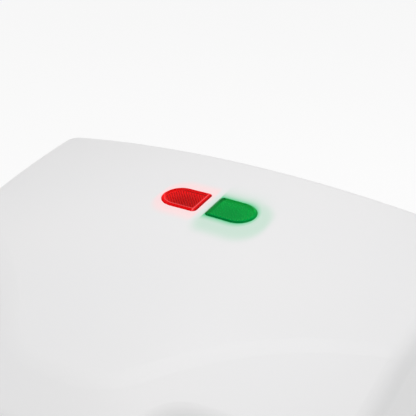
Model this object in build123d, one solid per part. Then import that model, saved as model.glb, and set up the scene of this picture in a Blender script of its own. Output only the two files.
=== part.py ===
from build123d import *
import math
import os

# Sandwich maker for two slices. Millimetres, +X right, the handles towards -Y, +Z up.
# The origin is on the table, below the middle of the closed cooker.

# Body outline, seen from above at the parting plane
REAR_Y = 104.0
REAR_HALF_W = 139.0
REAR_SAG = 1.0
SIDE_TAPER = 9.0
FRONT_CORNER_Y = -68.0
NOSE_ROOT_Y = -82.0
NOSE_ROOT_HALF_W = 50.0
NOSE_TIP_HALF_W = 42.0
NOSE_BOW = 2.0
REAR_CORNER_R = 14.0
FRONT_CORNER_R = 26.0
NOSE_ROOT_R = 14.0
NOSE_CORNER_R = 18.0

# Heights
FOOT_H = 5.0
PART_Z = 45.0
RIM_GAP = 2.0
LID_TOP = 92.0

# Lid form
LID_DRAFT = 6.0
DOME_R = 800.0
APEX_Y = 22.0
CREASE_DROP = 6.4
CREASE_SLOPE = 20.0
CREASE_NOSE_Y = -83.0
CREASE_NOSE_HALF_W = 20.0
CREASE_ANGLE = 40.4
CREASE_CORNER_R = 40.0
CREASE_BLEND_R = 30.0
SHOULDER_R = 10.0

# Base form
BASE_DRAFT = 5.0
BASE_EDGE_R = 8.0

# Walls and clearances
WALL = 2.6
FIT = 0.3
SLIP = 0.05
SEAT = 0.02

# Handles: the gap for the fingers between them, and the underside of the lower one
GRIP_ROOT_Y = -88.0
GRIP_GAP = 20.0
LOWER_GRIP_H = 18.0

# Hot plates
PLATE_MARGIN = 35.0
PLATE_D = 126.0
PLATE_Y = 11.0
PLATE_CORNER_R = 14.0
PLATE_GAP = 1.0
PLATE_T = 3.0
PLATE_SKIRT_H = 8.0
PLATE_SKIRT_T = 2.6
POCKET_DEPTH = 13.0
POCKET_SLOPE = 34.0
POCKET_WALL = 2.4
POCKET_R = 7.0
MID_RIDGE = 10.0
SEAL_RIDGE = 7.0
EAR_X = 62.0
EAR_W = 13.0
EAR_LEN = 9.0
EAR_T = 3.0

# Frames around the plates
FRAME_T = 3.5

# Heaters
TUBE_R = 3.2
HEATER_HALF_W = 52.0
HEATER_FRONT_Y = -30.0
HEATER_BEND_R = 26.0
HEATER_REAR_Y = 77.0
HEATER_PIN_R = 1.1
HEATER_PIN_LEN = 6.0
PRESS_W = 132.0
PRESS_D = 78.0
PRESS_T = 1.0
STUD_R = 3.6
STUD_X = 24.0

# Heat control under the lower press plate
FUSE_R = 2.0
FUSE_X = 30.0
FUSE_LEN = 11.0
FUSE_SIDE_Y = 18.0
CLIP_STRIP_T = 0.9
CLIP_STRIP_W = 5.0
CLIP_FOOT_LEN = 7.0
THERMOSTAT_R = 8.0
THERMOSTAT_CAN_H = 2.6
THERMOSTAT_H = 7.6
TAB_X = 3.0
TAB_END = 14.0

# Screws
SCREW_R = 1.6
SCREW_HEAD_R = 3.4
SCREW_HEAD_H = 2.2
POST_R = 4.0
FRONT_POST_IN = 53.0
FRONT_POST_OFF = 9.0
REAR_POST_IN = 44.0
REAR_POST_OFF = 12.0

# Hinge
HINGE_Y = 110.0
HINGE_Z = 46.0
KNUCKLE_R = 6.5
HINGE_X = 68.0
TONGUE_W = 12.0
LUG_W = 8.0
LUG_SIDE = 0.4
PIN_R = 2.0
SWEEP = 0.7

# Cable barrel on the hinge axis
BARREL_HALF = 15.0
BARREL_BORE_R = 4.2
DUCT_H = 15.0
LEAD_R = 1.9
LEAD_BEND_R = 4.0
WIRE_R = 1.1
WIRE_END = 0.3
WIRE_BEND_R = 3.5

# Latch clip on the upper handle
CLIP_W = 40.0
CLIP_SIDE = 0.6
CLIP_T = 3.0
CLIP_BARREL_R = 4.0
CLIP_PIN_R = 1.5
CLIP_PIN_Z = 61.0
CLIP_PIN_SETBACK = 6.5
CLIP_NOTCH_TOP = 67.6
CLIP_NOTCH_DEPTH = 10.5
CLIP_LEN = 35.5
CLIP_HOOK = 3.0
CLIP_LIP = 1.5
CLIP_RECESS = 7.5
LIP_DEPTH = 4.2
LIP_Z = 30.0

# Pilot lamps
LAMP_Y = 39.0
LENS_R = 10.2
LENS_END = 9.7
LENS_STRAIGHT = 13.8
LENS_GAP = 5.1
LENS_CORNER_R = 2.4
LENS_PROUD = 0.8
LENS_BEVEL = 1.4
LENS_FLANGE = 1.3
LENS_FLANGE_T = 1.4
LENS_SKIN = 2.0
LENS_SLIP = 0.12
HOLDER_DEPTH = 11.5
HOLDER_WALL = 1.4
BULB_R = 3.0
BULB_LEN = 13.0
RESISTOR_R = 2.1
RESISTOR_LEN = 9.0

# Terminal block on the floor
BLOCK_X = -0.5
BLOCK_PITCH = 9.0
BLOCK_D = 12.0
BLOCK_H = 13.0
BLOCK_WIRE_H = 5.0
BLOCK_FROM_REAR = 23.0

# Base cover, feet and cord entry
COVER_W = 166.0
COVER_D = 106.0
COVER_LIP = 8.0
COVER_T = 1.6
VENT_W = 3.0
VENT_L = 18.0
VENT_PITCH = 8.0
VENTS = 11
FOOT_R = 8.0
FOOT_STEM_R = 3.0
FRONT_FOOT_IN = 53.0
REAR_FOOT_IN = 37.0
FOOT_INSET = 5.0
CORD_X = 34.0
CORD_Z = 22.0
CORD_R = 3.5
GLAND_NECK_R = 5.8
GLAND_FLANGE_R = 8.5
GLAND_FLANGE_T = 2.5
PAD_FACE_Y = 103.5
PAD_R = 10.0

# Worked out from the sizes above
FRONT_Y = CLIP_LIP - (HINGE_Y + KNUCKLE_R)
NOSE_TIP_Y = FRONT_Y + 1.5
BASE_RIM_Z = PART_Z - RIM_GAP / 2
LID_RIM_Z = PART_Z + RIM_GAP / 2
GRIP_LOW_Z = PART_Z - GRIP_GAP / 2
GRIP_HIGH_Z = PART_Z + GRIP_GAP / 2
PLATE_TOP = PART_Z - PLATE_GAP / 2
FRAME_LOW_Z = BASE_RIM_Z - FRAME_T
POCKET_BACK_Z = PLATE_TOP - POCKET_DEPTH - POCKET_WALL
TUBE_Z = POCKET_BACK_Z - TUBE_R
PRESS_TOP_Z = TUBE_Z - TUBE_R
PRESS_Z = PRESS_TOP_Z - PRESS_T
FLOOR_TOP = FOOT_H + WALL
PLATE_REAR_Y = PLATE_Y + PLATE_D / 2
PLATE_FRONT_Y = PLATE_Y - PLATE_D / 2
PLATE_W = 2 * (REAR_HALF_W - PLATE_MARGIN)
FRONT_POST = (REAR_HALF_W - FRONT_POST_IN, PLATE_FRONT_Y - FRONT_POST_OFF)
REAR_POST = (REAR_HALF_W - REAR_POST_IN, PLATE_REAR_Y + REAR_POST_OFF)
FRONT_FOOT = (REAR_HALF_W - FRONT_FOOT_IN, PLATE_FRONT_Y + FOOT_INSET)
REAR_FOOT = (REAR_HALF_W - REAR_FOOT_IN, PLATE_REAR_Y)
EARTH_TAG = (12.0, PLATE_Y + 28)
BIG = 400.0


def save(name, *shapes):
    """Write one node's solids to its file."""
    found = [solid for shape in shapes for solid in shape.solids()]
    export_step(Compound(label=name, children=found), f"parts/{name}.step")
    return found


def block(x0, x1, y0, y1, z0, z1):
    """A box between two corners."""
    return Pos((x0 + x1) / 2, (y0 + y1) / 2, (z0 + z1) / 2) * Box(x1 - x0, y1 - y0, z1 - z0)


def rod_z(r, z0, z1, x, y):
    """An upright round bar."""
    return Pos(x, y, (z0 + z1) / 2) * Cylinder(r, z1 - z0)


def rod_x(r, x0, x1, y, z):
    """A round bar along X."""
    return Pos((x0 + x1) / 2, y, z) * Rot(0, 90, 0) * Cylinder(r, x1 - x0)


def rod_y(r, y0, y1, x, z):
    """A round bar along Y."""
    return Pos(x, (y0 + y1) / 2, z) * Rot(90, 0, 0) * Cylinder(r, y1 - y0)


def round_block(w, d, r, z0, z1, x, y):
    """A plate with rounded corners."""
    return Pos(x, y, z0) * extrude(RectangleRounded(w, d, r), z1 - z0)


def join(first, *others):
    """Several touching shapes as one."""
    whole = first
    for other in others:
        whole = whole + other
    return whole


def flip(shape):
    """The same thing in the lid, mirrored in the parting plane."""
    return mirror(shape, Plane.XY.offset(PART_Z))


def four(spots):
    """Front and rear places at both sides."""
    return [(side * x, y) for x, y in spots for side in (-1, 1)]


def corner_points(face, x, y):
    """The two mirrored corners of an outline nearest to a place."""
    return [v for v in face.vertices() if abs(abs(v.X) - x) < 1 and abs(v.Y - y) < 1]


def outline(inset=0.0):
    """The body's outline from above: bowed rear, tapering sides, and a nose for the handle."""
    rear_end_y = REAR_Y - REAR_SAG
    front_x = REAR_HALF_W - (rear_end_y - FRONT_CORNER_Y) * math.tan(math.radians(SIDE_TAPER))
    nose_y = NOSE_TIP_Y + NOSE_BOW
    left = [
        (-REAR_HALF_W, rear_end_y),
        (-front_x, FRONT_CORNER_Y),
        (-NOSE_ROOT_HALF_W, NOSE_ROOT_Y),
        (-NOSE_TIP_HALF_W, nose_y),
    ]
    right = [(-x, y) for x, y in reversed(left)]
    rear = ThreePointArc(right[-1], (0, REAR_Y), left[0])
    tip = ThreePointArc(left[-1], (0, NOSE_TIP_Y), right[0])
    face = make_face(Curve() + [rear, Polyline(*left), tip, Polyline(*right)])
    rounds = (REAR_CORNER_R, FRONT_CORNER_R, NOSE_ROOT_R, NOSE_CORNER_R)
    for (x, y), r in zip(left, rounds):
        face = fillet(corner_points(face, -x, y), r)
    if inset:
        face = offset(face, -inset)
    return face


def shield():
    """The crown's outline: straight flanks that meet in a rounded nose."""
    flank_x = REAR_HALF_W + REAR_CORNER_R
    reach = flank_x - CREASE_NOSE_HALF_W
    flank_y = CREASE_NOSE_Y + reach * math.tan(math.radians(CREASE_ANGLE))
    back_y = REAR_Y + flank_x / 2
    points = [
        (flank_x, flank_y),
        (flank_x, back_y),
        (-flank_x, back_y),
        (-flank_x, flank_y),
        (-CREASE_NOSE_HALF_W, CREASE_NOSE_Y),
        (CREASE_NOSE_HALF_W, CREASE_NOSE_Y),
    ]
    face = make_face(Polyline(*points, close=True))
    return fillet(corner_points(face, CREASE_NOSE_HALF_W, CREASE_NOSE_Y), CREASE_CORNER_R)


def shared_edges(first, others):
    """Edges of one face that also belong to any of the others."""
    rest = [edge for face in others for edge in face.edges()]
    return [edge for edge in first.edges() if any(edge.is_same(other) for other in rest)]


def crown(inset):
    """Everything below the domed top and its sloping front flanks."""
    slope = math.radians(CREASE_SLOPE)
    dome = Pos(0, APEX_Y, LID_TOP - DOME_R) * Rot(90, 0, 0) * Sphere(DOME_R - inset)
    top = LID_TOP + WALL - inset / math.cos(slope)
    small = offset(shield(), -(CREASE_DROP + WALL) / math.tan(slope))
    flanks = extrude(Pos(0, 0, top) * small, top - LID_RIM_Z + WALL, dir=(0, 0, -1), taper=CREASE_SLOPE - 90)
    return dome & flanks


def lid_form(inset=0.0):
    """The lid's closed form, taken in by a wall's thickness for its inside."""
    height = LID_TOP - LID_RIM_Z + WALL
    walls = extrude(Pos(0, 0, LID_RIM_Z) * outline(inset), height, taper=LID_DRAFT)
    body = (walls & crown(inset)).solids()[0]
    dome = [face for face in body.faces() if face.geom_type == GeomType.SPHERE][0]
    flanks = [face for face in body.faces() if 0.5 < face.normal_at(face.center()).Z < 0.97]
    creases = shared_edges(dome, flanks)
    body = fillet(creases, CREASE_BLEND_R - inset).solids()[0]
    upright = [face for face in body.faces() if abs(face.normal_at(face.center()).Z) < 0.3]
    wall_edges = [edge for face in upright for edge in face.edges()]
    shoulder = [
        edge for edge in body.edges()
        if sum(edge.is_same(other) for other in wall_edges) == 1
        and (edge @ 0.5).Z > LID_RIM_Z + WALL
    ]
    body = fillet(shoulder, SHOULDER_R - inset).solids()[0]
    grip = block(-BIG, BIG, -BIG, GRIP_ROOT_Y + inset, 0, GRIP_HIGH_Z + inset)
    half = CLIP_W / 2 + CLIP_SIDE + inset
    depth = NOSE_TIP_Y + CLIP_NOTCH_DEPTH + inset
    notch = block(-half, half, -BIG, depth, 0, CLIP_NOTCH_TOP + inset)
    return body - grip - notch


def base_form(inset=0.0):
    """The base's closed form, taken in by a wall's thickness for its inside."""
    low = FOOT_H + inset
    body = extrude(Pos(0, 0, BASE_RIM_Z) * outline(inset), BASE_RIM_Z - low, dir=(0, 0, -1),
                   taper=BASE_DRAFT).solids()[0]
    floor = body.faces().sort_by(Axis.Z)[0]
    body = fillet(floor.edges(), BASE_EDGE_R - inset).solids()[0]
    half = CLIP_W / 2 + CLIP_SIDE + inset
    depth = NOSE_TIP_Y + CLIP_RECESS + inset
    cuts = [
        block(-BIG, BIG, -BIG, GRIP_ROOT_Y + inset, GRIP_LOW_Z - inset, BIG),
        block(-BIG, BIG, -BIG, GRIP_ROOT_Y + inset, 0, LOWER_GRIP_H + inset),
        block(-half, half, -BIG, depth, 0, BIG),
        block(-half, half, -BIG, depth + LIP_DEPTH, 0, LIP_Z + inset),
    ]
    for cut in cuts:
        body = body - cut
    return body


def screw(x, y, seat_z, length, down=True):
    """A pan-head screw with a cross slot: its head sits on seat_z, its shank runs away from it."""
    head = fillet(Cylinder(SCREW_HEAD_R, SCREW_HEAD_H).faces().sort_by(Axis.Z)[-1].edges(), 0.9)
    head = Pos(0, 0, SCREW_HEAD_H / 2) * head
    shank = Pos(0, 0, -length / 2) * Cylinder(SCREW_R, length)
    slot = Box(SCREW_HEAD_R * 1.2, 0.8, SCREW_HEAD_H) + Box(0.8, SCREW_HEAD_R * 1.2, SCREW_HEAD_H)
    body = (head + shank) - Pos(0, 0, SCREW_HEAD_H * 1.1) * slot
    turn = Rot(0, 0, 0) if down else Rot(180, 0, 0)
    return Pos(x, y, seat_z) * turn * body


def screw_hole(x, y, z0, z1):
    """The hole that a screw's shank cuts its own thread in."""
    return rod_z(SCREW_R + SLIP, z0, z1, x, y)


def wire(points, r, bends):
    """A lead along straight runs joined by arcs."""
    path = FilletPolyline(*points, radius=bends)
    section = Plane(path @ 0, z_dir=path % 0) * Circle(r)
    return sweep(section, path)


def knuckle(x0, x1, up):
    """One hinge knuckle with the web that carries it on the rear wall."""
    rim, end = (LID_RIM_Z, HINGE_Z + KNUCKLE_R) if up else (BASE_RIM_Z, HINGE_Z - KNUCKLE_R)
    web = block(x0, x1, REAR_Y - WALL * 3, HINGE_Y, min(rim, end), max(rim, end))
    return rod_x(KNUCKLE_R, x0, x1, HINGE_Y, HINGE_Z) + web


def hinge_bays(own):
    """Where the other half's knuckles turn, cut from a shell. own is base or lid."""
    inner = HINGE_X - TONGUE_W / 2
    outer = HINGE_X + TONGUE_W / 2
    if own == "base":
        spans = [(s * inner, s * outer) for s in (-1, 1)] + [(LUG_SIDE, BARREL_HALF)]
    else:
        near = inner - LUG_SIDE - LUG_W
        far = outer + LUG_SIDE + LUG_W
        spans = [(s * a, s * b) for s in (-1, 1) for a, b in ((near, near + LUG_W), (far - LUG_W, far))]
        spans.append((-BARREL_HALF, -LUG_SIDE))
    bays = []
    for a, b in spans:
        x0, x1 = sorted((a, b))
        bays.append(rod_x(KNUCKLE_R + SWEEP, x0 - LUG_SIDE, x1 + LUG_SIDE, HINGE_Y, HINGE_Z))
    return bays


def cable_duct(side):
    """Half of the hollow barrel on the hinge axis, with the duct that joins it to its shell."""
    x0, x1 = sorted((side * LUG_SIDE, side * BARREL_HALF))
    rim = LID_RIM_Z if side > 0 else BASE_RIM_Z
    z0, z1 = sorted((rim, HINGE_Z + side * DUCT_H))
    duct = block(x0, x1, REAR_Y - WALL * 3, HINGE_Y + KNUCKLE_R, z0, z1)
    z0, z1 = sorted((HINGE_Z, HINGE_Z + side * DUCT_H))
    neck = block(x0, x1, HINGE_Y, HINGE_Y + KNUCKLE_R, z0, z1)
    return join(rod_x(KNUCKLE_R, x0, x1, HINGE_Y, HINGE_Z), duct, neck)


def cable_way(side):
    """The free space inside a cable duct, out to the inside of its shell."""
    open_x = side * LUG_SIDE / 2
    end_x = side * (BARREL_HALF - WALL / 2)
    x0, x1 = sorted((open_x, end_x))
    bore = rod_x(BARREL_BORE_R, x0, x1, HINGE_Y, HINGE_Z)
    z0, z1 = sorted((HINGE_Z, HINGE_Z + side * (DUCT_H - WALL)))
    duct_x0, duct_x1 = sorted((side * WALL, end_x))
    duct = block(duct_x0, duct_x1, HINGE_Y - BARREL_BORE_R, HINGE_Y + BARREL_BORE_R, z0, z1)
    mouth_z = HINGE_Z + side * (DUCT_H - WALL - BARREL_BORE_R)
    mouth = rod_y(BARREL_BORE_R - 1, REAR_Y - WALL * 4, HINGE_Y, side * BARREL_HALF / 2, mouth_z)
    return join(bore, duct, mouth)


def lens_outline(side, grow=0.0):
    """One half of the pill: a straight inner end, long sides and a round outer end."""
    near = LENS_GAP / 2 - grow
    far = LENS_GAP / 2 + LENS_STRAIGHT
    r = LENS_R + grow
    top = Line((near, r), (far, r))
    end = EllipticalCenterArc((far, 0), LENS_END + grow, r, start_angle=-90, arc_size=180)
    bottom = Line((far, -r), (near, -r))
    shut = Line((near, -r), (near, r))
    face = make_face(Curve() + [top, end, bottom, shut])
    corners = [v for v in face.vertices() if abs(v.X - near) < SLIP]
    face = fillet(corners, LENS_CORNER_R + grow)
    face = face if side > 0 else mirror(face, Plane.YZ)
    return Pos(0, LAMP_Y, 0) * face


def dome_shell(outer, inner):
    """A layer of the crown between two depths, negative above the surface."""
    big = Pos(0, APEX_Y, LID_TOP - DOME_R) * Rot(90, 0, 0) * Sphere(DOME_R - outer)
    small = Pos(0, APEX_Y, LID_TOP - DOME_R) * Rot(90, 0, 0) * Sphere(DOME_R - inner)
    return big, small


def lens(side):
    """A lamp window: a hollow D-shaped cap with a bevelled rim, and a flange inside the lid."""
    low = LID_TOP - WALL * 4
    top_ball, skin_ball = dome_shell(-LENS_PROUD, LENS_SKIN - LENS_PROUD)
    full = extrude(Pos(0, 0, low) * lens_outline(side), LID_TOP + LENS_R - low)
    cap = (full & top_ball).solids()[0]
    top = cap.faces().sort_by(Axis.Z)[-1]
    cap = chamfer(top.edges(), LENS_PROUD * 0.85, LENS_BEVEL, reference=top)
    under_ball, flange_ball = dome_shell(WALL + SLIP, WALL + LENS_FLANGE_T)
    wide = extrude(Pos(0, 0, low) * lens_outline(side, LENS_FLANGE), LID_TOP - low)
    flange = (wide & under_ball) - flange_ball
    cap = cap - (extrude(Pos(0, 0, 0) * lens_outline(side), LID_TOP) & flange_ball)
    hollow = extrude(lens_outline(side, -LENS_SKIN * 0.8), LID_TOP) & skin_ball
    return (cap + flange) - hollow


def lamp_windows():
    """The two D-shaped holes in the lid."""
    z0 = LID_TOP - WALL * 3
    return [extrude(Pos(0, 0, z0) * lens_outline(s, LENS_SLIP), WALL * 6) for s in (-1, 1)]


def lid_shell():
    """White moulded cover: crown, walls, upper handle, screw posts, hinge tongues and cable duct."""
    shell = lid_form() + cable_duct(1)
    for side in (-1, 1):
        mid = side * HINGE_X
        shell = shell + knuckle(mid - TONGUE_W / 2, mid + TONGUE_W / 2, True)
    shell = shell - lid_form(WALL)
    posts = [rod_z(POST_R, LID_RIM_Z + FRAME_T, LID_TOP, x, y) for x, y in four((FRONT_POST, REAR_POST))]
    posts += [rod_z(POST_R - 0.8, holder_low() + HOLDER_WALL, LID_TOP, x, LAMP_Y) for x in holder_posts()]
    within = lid_form(WALL / 2)
    for post in posts:
        shell = shell + (post & within)
    for bay in hinge_bays("lid"):
        shell = shell - bay
    for x, y in four((FRONT_POST, REAR_POST)):
        shell = shell - screw_hole(x, y, LID_RIM_Z, LID_RIM_Z + FRAME_T + 12)
    for x in holder_posts():
        shell = shell - screw_hole(x, LAMP_Y, holder_low(), holder_low() + 8)
    shell = shell - rod_x(PIN_R + SLIP, -BIG / 4, BIG / 4, HINGE_Y, HINGE_Z)
    shell = shell - cable_way(1)
    half = CLIP_W / 2 + CLIP_SIDE + WALL * 1.5
    shell = shell - rod_x(CLIP_PIN_R + SEAT, -half, half, clip_pin_y(), CLIP_PIN_Z)
    for window in lamp_windows():
        shell = shell - window
    return shell


def base_shell():
    """White moulded tub: floor, walls, lower handle, screw posts, hinge lugs and cord entry."""
    shell = base_form() + cable_duct(-1)
    inner = HINGE_X - TONGUE_W / 2 - LUG_SIDE
    outer = HINGE_X + TONGUE_W / 2 + LUG_SIDE
    for side in (-1, 1):
        for a, b in ((inner - LUG_W, inner), (outer, outer + LUG_W)):
            x0, x1 = sorted((side * a, side * b))
            shell = shell + knuckle(x0, x1, False)
    shell = shell - base_form(WALL)
    for x, y in four((FRONT_POST, REAR_POST)):
        shell = shell + rod_z(POST_R, FLOOR_TOP - WALL / 2, FRAME_LOW_Z, x, y)
    for x, y in cover_screw_spots():
        shell = shell + rod_z(POST_R - 0.5, FLOOR_TOP - WALL / 2, FLOOR_TOP + 8, x, y)
    pad = rod_y(PAD_R, REAR_Y - WALL * 3, PAD_FACE_Y, CORD_X, CORD_Z)
    shell = shell + pad + cord_saddle()
    for bay in hinge_bays("base"):
        shell = shell - bay
    shell = shell - rod_x(PIN_R + SEAT, -BIG / 4, BIG / 4, HINGE_Y, HINGE_Z)
    shell = shell - cable_way(-1)
    shell = shell - rod_y(GLAND_NECK_R + SLIP, REAR_Y - WALL * 4, REAR_Y + WALL, CORD_X, CORD_Z)
    for x, y in four((FRONT_POST, REAR_POST)):
        shell = shell - screw_hole(x, y, FRAME_LOW_Z - 12, FRAME_LOW_Z)
    for x, y in cover_screw_spots():
        shell = shell - screw_hole(x, y, FOOT_H, FLOOR_TOP + 7)
    for x in clamp_screw_spots():
        shell = shell - screw_hole(x, clamp_y(), CORD_Z - 4, BIG)
    for x, y in four((FRONT_FOOT, REAR_FOOT)):
        shell = shell - rod_z(FOOT_STEM_R + SLIP, 0, FLOOR_TOP + 1, x, y)
    wide = round_block(COVER_W, COVER_D, 12, FOOT_H - 1, FOOT_H + COVER_T, 0, PLATE_Y)
    inside = round_block(COVER_W - 2 * COVER_LIP, COVER_D - 2 * COVER_LIP, 8, 0, FLOOR_TOP + 1, 0, PLATE_Y)
    return shell - wide - inside


def cover_screw_spots():
    """Places of the four cover screws, in the cover's corners."""
    x = COVER_W / 2 - COVER_LIP / 2 - 1
    y = COVER_D / 2 - COVER_LIP / 2 - 1
    return [(sx * x, PLATE_Y + sy * y) for sx in (-1, 1) for sy in (-1, 1)]


def clamp_y():
    """Where the cord clamp's bar lies, a little inside the rear wall."""
    return REAR_Y - 17


def clamp_screw_spots():
    """The clamp's two screws, one each side of the cord."""
    return (CORD_X - 8, CORD_X + 8)


def cord_saddle():
    """Saddle on the floor that the cord is clamped down in."""
    y = clamp_y()
    seat = block(CORD_X - 11, CORD_X + 11, y - 3, y + 3, FLOOR_TOP - WALL / 2, CORD_Z)
    return seat - rod_y(CORD_R, y - 4, y + 4, CORD_X, CORD_Z)


def cord_clamp():
    """Flat bar that two screws draw down on the cord, with an arch over it."""
    y = clamp_y()
    bar = block(CORD_X - 11, CORD_X + 11, y - 3, y + 3, CORD_Z + 1, CORD_Z + 4)
    arch = rod_y(CORD_R + 2, y - 3, y + 3, CORD_X, CORD_Z + 1)
    whole = bar + (arch & block(-BIG, BIG, y - 3, y + 3, CORD_Z + 1, BIG))
    whole = whole - rod_y(CORD_R, y - 4, y + 4, CORD_X, CORD_Z)
    for x in clamp_screw_spots():
        whole = whole - screw_hole(x, y, 0, BIG)
    return whole


def base_cover():
    """Vented plate that closes the floor."""
    plate = round_block(COVER_W - 2 * FIT, COVER_D - 2 * FIT, 12 - FIT, FOOT_H, FOOT_H + COVER_T - SLIP,
                        0, PLATE_Y)
    first = -VENT_PITCH * (VENTS - 1) / 2
    for row in (-1, 1):
        for i in range(VENTS):
            x = first + i * VENT_PITCH
            slot = round_block(VENT_W, VENT_L, VENT_W / 2 - SLIP, 0, FLOOR_TOP, x, PLATE_Y + row * VENT_L)
            plate = plate - slot
    for x, y in cover_screw_spots():
        plate = plate - screw_hole(x, y, 0, FLOOR_TOP)
    return plate


def rubber_foot(x, y):
    """Push-in foot: a pad, a stem through the floor and a barb above it."""
    pad = Pos(x, y, FOOT_H / 2) * Cone(FOOT_R - 0.8, FOOT_R, FOOT_H)
    stem = rod_z(FOOT_STEM_R, FOOT_H - 0.5, FLOOR_TOP + 1, x, y)
    barb = Pos(x, y, FLOOR_TOP + SLIP + 1.25) * Cone(FOOT_STEM_R + 1.2, FOOT_STEM_R - 0.8, 2.5)
    return join(pad, stem, barb)


def frame_ring():
    """Heat-resistant ring between the lower plate and the tub's rim."""
    z0 = FRAME_LOW_Z
    body = extrude(Pos(0, 0, z0) * outline(WALL + FIT + FRAME_T * math.tan(math.radians(BASE_DRAFT))), FRAME_T)
    body = body & block(-BIG, BIG, GRIP_ROOT_Y + WALL + FIT, BIG, 0, BIG)
    hole = round_block(PLATE_W + 2 * FIT, PLATE_D + 2 * FIT, PLATE_CORNER_R + FIT, 0, BIG, 0, PLATE_Y)
    body = body - hole
    for x, y in four((FRONT_POST, REAR_POST)):
        body = body - screw_hole(x, y, 0, BIG)
        body = body - rod_z(SCREW_HEAD_R + FIT, BASE_RIM_Z - SCREW_HEAD_H - SLIP, BIG, x, y)
    for x, y in ear_spots():
        body = body - screw_hole(x, y, 0, BASE_RIM_Z - 0.8)
    for bay in hinge_bays("base") + hinge_bays("lid"):
        body = body - bay
    return body


def ear_spots():
    """Screw places in the plate's ears, beyond its front and rear edges."""
    y_rear = PLATE_REAR_Y + EAR_LEN / 2 + FIT
    y_front = PLATE_FRONT_Y - EAR_LEN / 2 - FIT
    return [(sx * EAR_X, y) for sx in (-1, 1) for y in (y_front, y_rear)]


def pocket_triangles():
    """The four triangles of a plate: two for each slice, cut corner to corner."""
    half = SEAL_RIDGE
    x_in = MID_RIDGE / 2
    x_out = PLATE_W / 2 - half
    y_lo = PLATE_FRONT_Y + half
    y_hi = PLATE_REAR_Y - half
    away = SEAL_RIDGE / 2 * 1.2
    shapes = []
    for s in (-1, 1):
        first = [(s * x_in, y_hi), (s * (x_out - away), y_hi), (s * x_in, y_lo + away)]
        second = [(s * x_out, y_lo), (s * x_out, y_hi - away), (s * (x_in + away), y_lo)]
        shapes += [first, second]
    return shapes


def triangle_prism(points, grow, depth, z_top):
    """A triangle with rounded corners that narrows as it goes down."""
    face = make_face(Polyline(*points, close=True))
    if face.faces()[0].normal_at().Z < 0:
        face = make_face(Polyline(*reversed(points), close=True))
    face = fillet(face.vertices(), POCKET_R)
    if grow:
        face = offset(face, grow)
    return extrude(Pos(0, 0, z_top) * face, depth, dir=(0, 0, -1), taper=POCKET_SLOPE)


def hot_plate():
    """Cast plate: flat face with four pockets, a skirt round it, ears and studs behind."""
    top = PLATE_TOP
    slab = round_block(PLATE_W, PLATE_D, PLATE_CORNER_R, top - PLATE_T, top, 0, PLATE_Y)
    skirt = round_block(PLATE_W, PLATE_D, PLATE_CORNER_R, top - PLATE_SKIRT_H, top - PLATE_T, 0, PLATE_Y)
    inner_w = PLATE_W - 2 * PLATE_SKIRT_T
    inner_d = PLATE_D - 2 * PLATE_SKIRT_T
    inner_r = PLATE_CORNER_R - PLATE_SKIRT_T
    skirt = skirt - round_block(inner_w, inner_d, inner_r, 0, top, 0, PLATE_Y)
    plate = slab + skirt
    for points in pocket_triangles():
        plate = plate + triangle_prism(points, POCKET_WALL, POCKET_DEPTH + POCKET_WALL, top)
    for x, y in stud_spots():
        plate = plate + rod_z(STUD_R, PRESS_TOP_Z, top - PLATE_T, x, y)
    for points in pocket_triangles():
        plate = plate - triangle_prism(points, 0, POCKET_DEPTH, top)
    for x, y in ear_spots():
        toward = -1 if y > PLATE_Y else 1
        edge = PLATE_REAR_Y if y > PLATE_Y else PLATE_FRONT_Y
        y0, y1 = sorted((edge + toward * PLATE_SKIRT_T, edge - toward * EAR_LEN))
        ear_top = FRAME_LOW_Z - SLIP
        plate = plate + block(x - EAR_W / 2, x + EAR_W / 2, y0, y1, ear_top - EAR_T, ear_top)
        plate = plate - screw_hole(x, y, 0, FRAME_LOW_Z)
    for x, y in stud_spots():
        plate = plate - screw_hole(x, y, PRESS_TOP_Z, POCKET_BACK_Z + 1)
    return plate


def stud_spots():
    """Studs behind the plate that carry the press plate, between the heater's legs."""
    return [(sx * STUD_X, PLATE_Y + sy * STUD_X) for sx in (-1, 1) for sy in (-1, 1)]


def heater_path():
    """Centre line of the heater: a U with its legs towards the rear."""
    w = HEATER_HALF_W
    points = [
        (-w, HEATER_REAR_Y, TUBE_Z),
        (-w, HEATER_FRONT_Y, TUBE_Z),
        (w, HEATER_FRONT_Y, TUBE_Z),
        (w, HEATER_REAR_Y, TUBE_Z),
    ]
    return FilletPolyline(*points, radius=HEATER_BEND_R)


def heater():
    """Tubular heater with a ceramic end and a terminal pin at each leg."""
    path = heater_path()
    tube = sweep(Plane(path @ 0, z_dir=path % 0) * Circle(TUBE_R), path)
    for side in (-1, 1):
        x = side * HEATER_HALF_W
        tube = tube + rod_y(TUBE_R - 0.7, HEATER_REAR_Y - 1, HEATER_REAR_Y + 2, x, TUBE_Z)
        tube = tube + rod_y(HEATER_PIN_R, HEATER_REAR_Y, HEATER_REAR_Y + HEATER_PIN_LEN, x, TUBE_Z)
    return tube


def press_plate():
    """Sheet that holds the heater up against the plate's pockets."""
    sheet = round_block(PRESS_W, PRESS_D, 10, PRESS_Z, PRESS_TOP_Z - SLIP, 0, PLATE_Y)
    for x, y in stud_spots():
        sheet = sheet - screw_hole(x, y, 0, BIG)
    for y in (PLATE_Y - PRESS_D / 2 + 1.5, PLATE_Y + PRESS_D / 2 - 1.5):
        sheet = sheet + block(-PRESS_W / 2 + 12, PRESS_W / 2 - 12, y - 0.5, y + 0.5, PRESS_Z - 3, PRESS_Z)
    return sheet


def clip_pin_y():
    """The clip's pin, inside the notch of the upper handle."""
    return FRONT_Y + CLIP_PIN_SETBACK


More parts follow.
